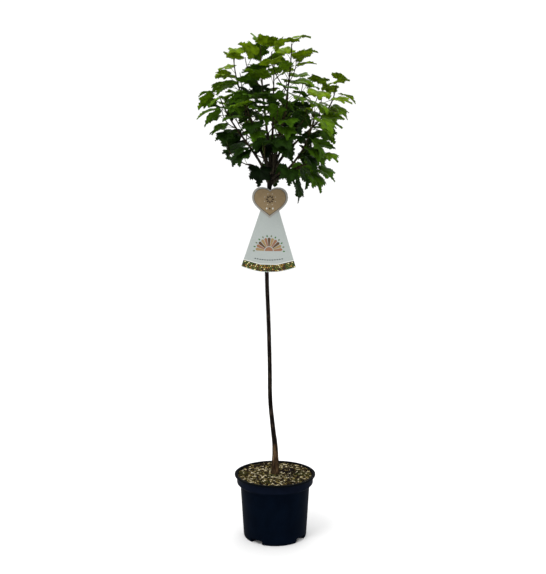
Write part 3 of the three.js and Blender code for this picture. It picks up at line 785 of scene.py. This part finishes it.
def scatter_chips(dice, corners):
    """Each chip's corners, its tone, and its kind where a patch sets it."""
    for _ in range(CHIPS.count):
        radius, turn = SOIL_EDGE * sqrt(dice.random()), dice.uniform(0, 2 * pi)
        x, y = polar(turn, radius)
        length = CHIPS.length + CHIPS.more * dice.random() ** 2
        width = CHIPS.width + CHIPS.more_width * dice.random()
        ragged = 1 + dice.normal(0, CHIPS.ragged, corners.shape)
        shape = corners * (length, width, CHIPS.thickness) * ragged
        yaw = dice.uniform(0, 2 * pi)
        pitch, roll = dice.normal(0, CHIPS.pitch), dice.normal(0, CHIPS.roll)
        place = np.array([x, y, soil_height(radius) + dice.uniform(*CHIPS.rise)])
        shape = place + shape @ np.array(rolled_frame(between(heading(yaw), UP, pitch), roll))
        at_wall = np.max(np.hypot(shape[:, 0], shape[:, 1])) > SOIL_EDGE
        at_trunk = hypot(x - FOOT_SIDEWAYS, y) < length / 3 + CHIPS.trunk_gap
        if not at_wall and not at_trunk:
            clump = noise.noise(Vector((x, y, 0)) / CHIP_CLUMP.size)
            tone = clump + dice.normal(0, CHIP_CLUMP.blend)
            here = [kind for kind, px, py, reach in CHIP_PATCHES if hypot(x - px, y - py) < reach]
            yield shape, tone, here[0] if here and dice.random() < PATCH_SHARE else None


def build_chips(dice, materials):
    pieces = {name: Piece("soil_" + name, [materials[name]]) for name in CHIP_SHARES}
    corners = np.array([[x, y, z] for z in (-1, 1) for x, y in ((-1, -1), (1, -1), (1, 1), (-1, 1))]) / 2
    shapes, tones, patches = zip(*scatter_chips(dice, corners))
    ends = np.cumsum(list(CHIP_SHARES.values())) * len(shapes)
    for rank, n in enumerate(np.argsort(tones)):
        kind = patches[n] or list(CHIP_SHARES)[int(np.searchsorted(ends, rank, side="right"))]
        pieces[kind].add(shapes[n], closed_faces(2, 4))
    for piece in pieces.values():
        piece.build("soil_chips", ["soil"], smooth=False)


def build_moss(dice, material):
    moss = Piece("moss", [material])
    for middle_x, middle_y, spread, count in MOSS:
        for _ in range(count):
            x = middle_x + dice.normal(0, spread / MOSS_SPREAD[0])
            y = middle_y + dice.normal(0, spread / MOSS_SPREAD[1])
            radius = hypot(x, y)
            at_wall = radius > SOIL_EDGE - MOSS_BLADE.wall_gap
            if at_wall or hypot(x - FOOT_SIDEWAYS, y) < MOSS_BLADE.trunk_gap:
                continue
            foot = np.array([x, y, soil_height(radius)])
            lean = heading(dice.uniform(0, 2 * pi))
            aside = np.array([-lean[1], lean[0], 0]) * dice.uniform(*MOSS_BLADE.width)
            out = lean * dice.uniform(*MOSS_BLADE.lean)
            tip = foot + out + UP * dice.uniform(*MOSS_BLADE.rise)
            middle = (foot + tip) / 2 + UP * MOSS_BLADE.bulge
            moss.add([foot, middle - aside, tip, middle + aside], [[0, 1, 2, 3]])
    moss.build("soil_chips", ["soil"])


# Label

LABEL = Sizes(middle=-14.2, tilt=1.2, ink=0.12, gap=0.05)
HEART = Sizes(width=106, height=92, top=1025, notch=11, crest=3, shoulder=6, steps=26)
# Where the heart's curves bend: shares of its half width, and of its height below its top
HEART_BENDS = Sizes(near=0.2, far=0.98, side=0.34, belly=0.62, low=0.4, foot=0.8)
FAN = Sizes(foot=774, foot_radius=208, foot_width=160, neck_width=55, neck_height=955)
# How far the kraft panel and its outline lie inside the heart's sides, top and tip
PANEL_INSETS = Sizes(line=(6, 5, 6.5), kraft=(7.2, 6.2, 8.5))
ROSETTE = Sizes(height=988, petals=8, inner=4, outer=13, width=5, dot_reach=17, dot=2.4)
PANEL_ROW = Sizes(height=961, count=3, step=9, width=5, tall=7)
BAND = Sizes(
    foot=0.4, height=20.5, line=2.4, cells=26, rows=4, steps=4, cell_width=(0.7, 1.1),
    cell_tall=(0.7, 1), seed=3,
)
SUN = Sizes(
    height=836, core=12, core_steps=12, radius=37, rays=11, ray_gap=0.08, ray_foot=2, ray_tip=3,
    bead_reach=44, bead_width=5, bead_height=8,
)
DASHES = Sizes(rise=35.5, count=12, span=0.56, width=6.4, tall=3.6)


def heart_outline(side_inset, top_inset, tip_inset):
    """The heart's outline as seen from the front, drawn in at its sides, top and tip."""
    half, top, height = HEART.width / 2, HEART.top, HEART.height
    bends = HEART_BENDS
    dip, point = top - HEART.notch, top - height
    side = (half, top - bends.side * height)
    crest, shoulder = (bends.near * half, top + HEART.crest), (bends.far * half, top + HEART.shoulder)
    belly, foot = (half, top - bends.belly * height), (bends.low * half, top - bends.foot * height)
    parts = [[(0, dip), crest, shoulder, side], [side, belly, foot, (0, point)]]
    t = np.linspace(0, 1, HEART.steps, endpoint=False)[:, None]
    curve = np.concatenate([bezier(np.array(part, float), t) for part in parts] + [[(0, point)]])
    mirrored = (curve * (-1, 1))[-2:0:-1]
    outline = np.concatenate([curve, mirrored])[::-1]
    across = outline[:, 0] * (1 - side_inset / half)
    up = (outline[:, 1] - point) * ((height - top_inset - tip_inset) / height)
    return np.column_stack([across, point + tip_inset + up])


def fan_point(across, rise):
    """A point of the fan at a share across it, from -1 to 1, and a height over its curved foot."""
    half_angle = asin(FAN.foot_width / 2 / FAN.foot_radius)
    radius, centre = FAN.foot_radius - rise, FAN.foot + FAN.foot_radius
    foot_height = centre - FAN.foot_radius * cos(half_angle)
    share = rise * cos(half_angle) / (FAN.neck_height - foot_height)
    half_width = lerp(FAN.foot_width / 2, FAN.neck_width / 2, share)
    angle = across * half_angle
    return np.array([sin(angle) * half_width / sin(half_angle), centre - radius * cos(angle)])


def on_label(flat, depth):
    """Points of the flat label, tilted about the heart's dip and put at a depth."""
    dip = HEART.top - HEART.notch
    turn = radians(LABEL.tilt)
    x, z = np.asarray(flat, float).T
    z = z - dip
    across = x * cos(turn) + z * sin(turn) + LABEL.middle
    up = -x * sin(turn) + z * cos(turn) + dip
    return np.column_stack([across, np.full(len(x), depth), up])


def add_print(piece, outline, front, layer=1, material=0):
    """A thin printed shape that lies on the card's front, as a closed plate."""
    back = front - LABEL.gap
    rings = [on_label(outline, depth) for depth in (back, back - layer * LABEL.ink)]
    piece.add(np.concatenate(rings), closed_faces(2, len(outline)), material)


def band_cell(start, end, low, high):
    shares = np.linspace(start, end, BAND.steps)
    return [fan_point(s, low) for s in shares] + [fan_point(s, high) for s in shares[::-1]]


def lozenge(middle, width, tall, turn=0):
    along = polar(turn)
    aside = np.array([-along[1], along[0]])
    steps = (-along * width, -aside * tall, along * width, aside * tall)
    return [middle + step / 2 for step in steps]


def build_heart_print(kraft, dark_ink, white_ink):
    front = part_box("label_heart")[0].y / MM
    panel = Piece("label_heart_panel", [dark_ink, kraft])
    add_print(panel, heart_outline(*PANEL_INSETS.line), front)
    add_print(panel, heart_outline(*PANEL_INSETS.kraft), front, 2, 1)
    panel.build("label_kraft", smooth=False)

    ink = Piece("label_heart_ornament", [dark_ink, white_ink])
    middle = np.array([0, ROSETTE.height])
    length = ROSETTE.outer - ROSETTE.inner
    for turn in ring_turns(ROSETTE.petals):
        petal = middle + polar(turn, (ROSETTE.inner + ROSETTE.outer) / 2)
        add_print(ink, lozenge(petal, length, ROSETTE.width, turn), front, 3)
        dot = middle + polar(turn + pi / ROSETTE.petals, ROSETTE.dot_reach)
        add_print(ink, lozenge(dot, ROSETTE.dot, ROSETTE.dot), front, 3, 1)
    for i in range(PANEL_ROW.count):
        place = np.array([(i - (PANEL_ROW.count - 1) / 2) * PANEL_ROW.step, PANEL_ROW.height])
        add_print(ink, lozenge(place, PANEL_ROW.width, PANEL_ROW.tall), front, 3, 1 - i % 2)
    ink.build("label_kraft", smooth=False)


def build_fan_band(front, white_ink, inks):
    """A mottled band of leaf colours along the fan's foot, under a pale line."""
    dice = np.random.default_rng(BAND.seed)
    band = Piece("label_fan_band", [white_ink] + inks)
    cells, rows, height = BAND.cells, BAND.rows, BAND.height
    add_print(band, band_cell(-1, 1, height, height + BAND.line), front)
    add_print(band, band_cell(-1, 1, BAND.foot, height), front, 1, 1)
    for row in range(rows):
        low = BAND.foot + (height - BAND.foot) * row / rows
        shift = 0.5 * (row % 2)
        for i in range(cells):
            start, end = -1 + 2 * (i + shift) / cells, -1 + 2 * (i + 1 + shift) / cells
            if end <= 1:
                middle = fan_point((start + end) / 2, low + height / rows / 2)
                width = FAN.foot_width / cells * dice.uniform(*BAND.cell_width)
                ink = 2 + int(dice.integers(0, len(inks) - 1))
                tall = height / rows * dice.uniform(*BAND.cell_tall)
                add_print(band, lozenge(middle, width, tall), front, 2, ink)
    band.build("label_card", smooth=False)


def build_fan_sun(front, sun_inks, bead_inks, grey_ink):
    """A half sun of plain rays with beads around it, and a row of dashes below."""
    sun = Piece("label_fan_ornament", sun_inks + bead_inks + [grey_ink])
    middle = np.array([0, SUN.height])
    foot, rays = SUN.core + SUN.ray_foot, SUN.rays
    for i in range(rays):
        low, high = pi * (i + SUN.ray_gap) / rays, pi * (i + 1 - SUN.ray_gap) / rays
        tip = ((low + high) / 2, SUN.radius + SUN.ray_tip)
        corners = [(low, foot), (low, SUN.radius), tip, (high, SUN.radius), (high, foot)]
        add_print(sun, [middle + polar(*corner) for corner in corners], front, 1, i % len(sun_inks))
    steps = range(SUN.core_steps + 1)
    add_print(sun, [middle + polar(pi * i / SUN.core_steps, SUN.core) for i in steps], front)
    for i in range(rays + 1):
        turn = pi * i / rays
        bead = lozenge(middle + polar(turn, SUN.bead_reach), SUN.bead_height, SUN.bead_width, turn)
        add_print(sun, bead, front, 1, len(sun_inks) + i % len(bead_inks))
    for i in range(DASHES.count):
        share = DASHES.span * (2 * i / (DASHES.count - 1) - 1)
        dash = lozenge(fan_point(share, DASHES.rise), DASHES.width, DASHES.tall)
        add_print(sun, dash, front, 1, len(sun_inks) + len(bead_inks))
    sun.build("label_card", smooth=False)


# Materials

# A kind of surface: its shine, its spots' tones, their places in the pattern and their size, and
# the size and depth of its fine relief
Look = namedtuple("Look", "roughness specular tones places spots detail grain depth grain_detail")
LEAF_LOOK = Look(0.52, 0.03, (0.55, 1.4), (0.32, 0.68), 0.014, 4, 0.0035, 0.0006, 2)
# A leaf's upper side, its underside and its veins: how pale and how rough each is
LEAF_SIDES = {"leaf_": (1, 0.52), "leaf_under_": (1.15, 0.62), "leaf_vein_": (1.8, 0.55)}
PETIOLE_LOOK = LEAF_LOOK._replace(roughness=0.5)
CHIP_LOOK = Look(0.9, 0.05, (0.6, 1.25), (0.25, 0.75), 0.006, 5, 0.0012, 0.0004, 4)
POT_LOOK = Look(0.5, 0.006, (0.8, 1.25), (0.3, 0.7), 0.03, 4, 0.0011, 0.00006, 3)
CARD_LOOK = Look(0.55, 0.15, (0.94, 1.06), (0.3, 0.7), 0.004, 6, 0.0008, 0.00005, 4)
# Bark has three colours in long spots, and a relief that is several times finer
BARK_LOOK = Sizes(
    roughness=0.85, specular=0.03, places=(0.3, 0.5, 0.72), detail=6, stretch=(1, 1, 4),
    grain_part=4, depth=0.0006, grain_stretch=(1, 1, 3),
)


def srgb(red, green, blue):
    """A colour that is written as it looks on a screen, from 0 to 255, as light."""
    shares = [v / 255 for v in (red, green, blue)]
    return tuple(((s + 0.055) / 1.055) ** 2.4 if s > 0.04045 else s / 12.92 for s in shares)


def shaded(color, share):
    return tuple(v * share for v in color)


def set_inputs(node, values):
    for name, value in values.items():
        node.inputs[name].default_value = value
    return node


def join(source, output, node, name):
    """Links a node's output to another's input."""
    node.id_data.links.new(source.outputs[output], node.inputs[name])


def plain_material(name, color, roughness, specular):
    material = bpy.data.materials.new(name)
    material.use_nodes = True
    values = {"Base Color": (*color, 1), "Roughness": roughness, "Specular IOR Level": specular}
    set_inputs(material.node_tree.nodes["Principled BSDF"], values)
    return material


def pattern(nodes, scale, detail, stretch):
    """A noise pattern fixed to the object, with features of a size in metres."""
    place = nodes.new("ShaderNodeTexCoord")
    mapping = set_inputs(nodes.new("ShaderNodeMapping"), {"Scale": [1 / (scale * s) for s in stretch]})
    texture = set_inputs(nodes.new("ShaderNodeTexNoise"), {"Scale": 1, "Detail": detail})
    join(place, "Object", mapping, "Vector")
    join(mapping, "Vector", texture, "Vector")
    return texture


def mottle(material, places, colors, scale, detail=4, stretch=(1, 1, 1)):
    """Colours that change over the surface, given with their places from 0 to 1 in the pattern."""
    nodes = material.node_tree.nodes
    ramp = nodes.new("ShaderNodeValToRGB")
    elements = ramp.color_ramp.elements
    while len(elements) < len(places):
        elements.new(0.5)
    for element, place, color in zip(elements, places, colors):
        element.position = place
        element.color = (*color, 1)
    join(pattern(nodes, scale, detail, stretch), "Fac", ramp, "Fac")
    join(ramp, "Color", nodes["Principled BSDF"], "Base Color")


def bump(material, scale, depth, detail, stretch=(1, 1, 1)):
    nodes = material.node_tree.nodes
    node = set_inputs(nodes.new("ShaderNodeBump"), {"Distance": depth, "Strength": 1})
    join(pattern(nodes, scale, detail, stretch), "Fac", node, "Height")
    join(node, "Normal", nodes["Principled BSDF"], "Normal")


def surface(name, color, look):
    """A material of one colour, darker and paler in spots, with a fine relief."""
    material = plain_material(name, color, look.roughness, look.specular)
    mottle(material, look.places, [shaded(color, tone) for tone in look.tones], look.spots, look.detail)
    bump(material, look.grain, look.depth, look.grain_detail)
    return material


def bark_material(name, dark, middle, pale, scale=0.006):
    look = BARK_LOOK
    colors = [srgb(*color) for color in (dark, middle, pale)]
    material = plain_material(name, colors[1], look.roughness, look.specular)
    mottle(material, look.places, colors, scale, look.detail, look.stretch)
    bump(material, scale / look.grain_part, look.depth, look.detail, look.grain_stretch)
    return material


def card_material(name, color, change=0.06):
    return surface(name, srgb(*color), CARD_LOOK._replace(tones=(1 - change, 1 + change)))


def card_inks(family, colors):
    return [card_material(family + name, color) for name, color in colors.items()]


# Leaf colours with light painted in: the most lit tint stands for top leaves lit from above and shining
# through, the dark tint for painted shade in the crown's heart.
LEAF_LIT_COLORS = {
    "most_lit": (86, 108, 8), "bright": (68, 95, 7), "mid": (46, 73, 7), "deep": (20, 38, 5),
    "dark": (6, 15, 3),
}
CHIP_COLORS = {
    "pale": (204, 193, 160), "straw": (128, 114, 68), "olive": (58, 55, 22), "tan": (68, 53, 31),
    "brown": (24, 17, 10), "plum": (22, 15, 16),
}
BAND_COLORS = {
    "ground": (22, 22, 9), "olive": (104, 106, 44), "brown": (76, 54, 26), "green": (72, 92, 34),
    "pale": (198, 190, 132), "ochre": (160, 124, 58),
}
SUN_COLORS = {"clay": (128, 92, 70), "ochre": (136, 114, 78), "brown": (82, 62, 46)}
BEAD_COLORS = {"green": (52, 94, 42), "pale": (92, 100, 76)}


def leaf_set(lit_tint, color):
    return [
        surface(side + lit_tint, shaded(srgb(*color), lift), LEAF_LOOK._replace(roughness=roughness))
        for side, (lift, roughness) in LEAF_SIDES.items()
    ]


bark = bark_material("bark", (7, 5, 4), (17, 14, 12), (54, 45, 37))
foot_bark = bark_material("foot_bark", (17, 13, 9), (46, 34, 23), (108, 85, 60))
bough_bark = bark_material("bough_bark", (14, 12, 10), (30, 27, 21), (62, 57, 44))
young_bark = bark_material("young_bark", (22, 16, 14), (38, 30, 20), (62, 56, 32), 0.008)
green_bark = bark_material("green_bark", (34, 44, 14), (50, 64, 20), (72, 86, 34))
petiole_green = surface("petiole_green", srgb(54, 66, 24), PETIOLE_LOOK)
leaf_materials = {lit_tint: leaf_set(lit_tint, color) for lit_tint, color in LEAF_LIT_COLORS.items()}

pot_plastic = surface("pot_plastic", srgb(3, 8, 18), POT_LOOK)
# The collar is painted paler than the body, as a painted sheen on its band.
collar_sheen_plastic = surface("collar_sheen_plastic", srgb(8, 13, 24), POT_LOOK)
rim_plastic = surface("rim_plastic", srgb(6, 8, 10), POT_LOOK)

soil_dark = surface("soil_dark", srgb(9, 7, 5), CHIP_LOOK)
chip_materials = {
    kind: surface("chip_" + kind, srgb(*color), CHIP_LOOK) for kind, color in CHIP_COLORS.items()
}
moss_green = surface("moss_green", srgb(46, 54, 16), CHIP_LOOK)

card_grey = card_material("card_grey", (151, 157, 154), 0.03)
card_edge = card_material("card_edge", (138, 136, 129), 0.04)
kraft = card_material("kraft", (126, 108, 80), 0.12)
dark_ink = card_material("dark_ink", (42, 34, 28))
white_ink = card_material("white_ink", (196, 198, 190), 0.03)
grey_ink = card_material("grey_ink", (44, 54, 54))
strap_white = card_material("strap_white", (160, 160, 152), 0.03)

# The card and strap solids stay, with better materials
for node, material in (("label_fan", card_grey), ("label_heart", card_edge), ("label_strap", strap_white)):
    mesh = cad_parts[node].data
    mesh.materials.clear()
    mesh.materials.append(material)

# The plant
stems, twigs, sprigs, leaves = grow_crown()
build_trunk(bark, foot_bark)
build_limbs(stems, bough_bark, young_bark)
build_shoots("twigs", twigs, TWIG, young_bark)
build_shoots("sprigs", sprigs, SPRIG, green_bark)
build_leaves(leaves, leaf_materials, petiole_green)
build_pot(pot_plastic, collar_sheen_plastic, rim_plastic)
build_soil_bed(soil_dark)
soil_dice = np.random.default_rng(CHIPS.seed)
build_chips(soil_dice, chip_materials)
build_moss(soil_dice, moss_green)
build_heart_print(kraft, dark_ink, white_ink)
fan_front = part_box("label_fan")[0].y / MM
build_fan_band(fan_front, white_ink, card_inks("band_", BAND_COLORS))
build_fan_sun(fan_front, card_inks("sun_", SUN_COLORS), card_inks("bead_", BEAD_COLORS), grey_ink)

# Floor, light and camera, in metres
FLOOR = Sizes(radius=60, paleness=0.72, change=0.02, places=(0.3, 0.7), spots=0.4)
FLOOR_SHINE = Sizes(roughness=0.9, specular=0.05)
SKY = {"To Min": 1.03, "To Max": 1.5, "From Min": 0.26, "From Max": 0.5}
# Each soft light's place, size and power
SOFT_LIGHTS = {"key": ((-1.7, -2.2, 4.0), 1.6, 80), "back": ((0.6, 2.6, 3.0), 2.0, 30)}
LIT_PLACE = Vector((0, 0, 0.9))
CAMERA = Sizes(place=(-0.0059, -2.1626, 0.8811), down=0.51, shift=-0.078, sensor_mm=36, clip_end=200)
IMAGE_HEIGHT = 574
FOCAL_PIXELS = 733.2

floor_mesh = bpy.data.meshes.new("floor")
corners = [(FLOOR.radius * x, FLOOR.radius * y, 0) for x, y in ((-1, -1), (1, -1), (1, 1), (-1, 1))]
floor_mesh.from_pydata(corners, [], [[0, 1, 2, 3]])
floor = add_object("floor", floor_mesh)
pales = [(FLOOR.paleness + more,) * 3 for more in (0, FLOOR.change)]
floor_pale = plain_material("floor_pale", pales[0], FLOOR_SHINE.roughness, FLOOR_SHINE.specular)
mottle(floor_pale, FLOOR.places, pales, FLOOR.spots)
floor_mesh.materials.append(floor_pale)

# The studio's white walls, with a brighter soft light overhead
world = bpy.data.worlds.new("studio")
scene.world = world
world.use_nodes = True
nodes = world.node_tree.nodes
background = set_inputs(nodes["Background"], {"Color": (1, 1, 1, 1)})
direction = nodes.new("ShaderNodeTexCoord")
upward = nodes.new("ShaderNodeSeparateXYZ")
strength = set_inputs(nodes.new("ShaderNodeMapRange"), SKY)
join(direction, "Generated", upward, "Vector")
join(upward, "Z", strength, "Value")
join(strength, "Result", background, "Strength")

for name, (place, size, power) in SOFT_LIGHTS.items():
    lamp = bpy.data.lights.new(name, "AREA")
    lamp.size = size
    lamp.energy = power
    light = add_object(name, lamp)
    light.location = place
    light.rotation_euler = (LIT_PLACE - Vector(place)).to_track_quat("-Z", "Y").to_euler()

camera_data = bpy.data.cameras.new("camera")
camera_data.sensor_width = CAMERA.sensor_mm
camera_data.lens = CAMERA.sensor_mm * FOCAL_PIXELS / IMAGE_HEIGHT
camera_data.shift_y = CAMERA.shift
camera_data.clip_end = CAMERA.clip_end
camera = add_object("camera", camera_data)
camera.location = CAMERA.place
camera.rotation_euler = (radians(90 - CAMERA.down), 0, 0)
scene.camera = camera
scene.view_settings.view_transform = "Standard"
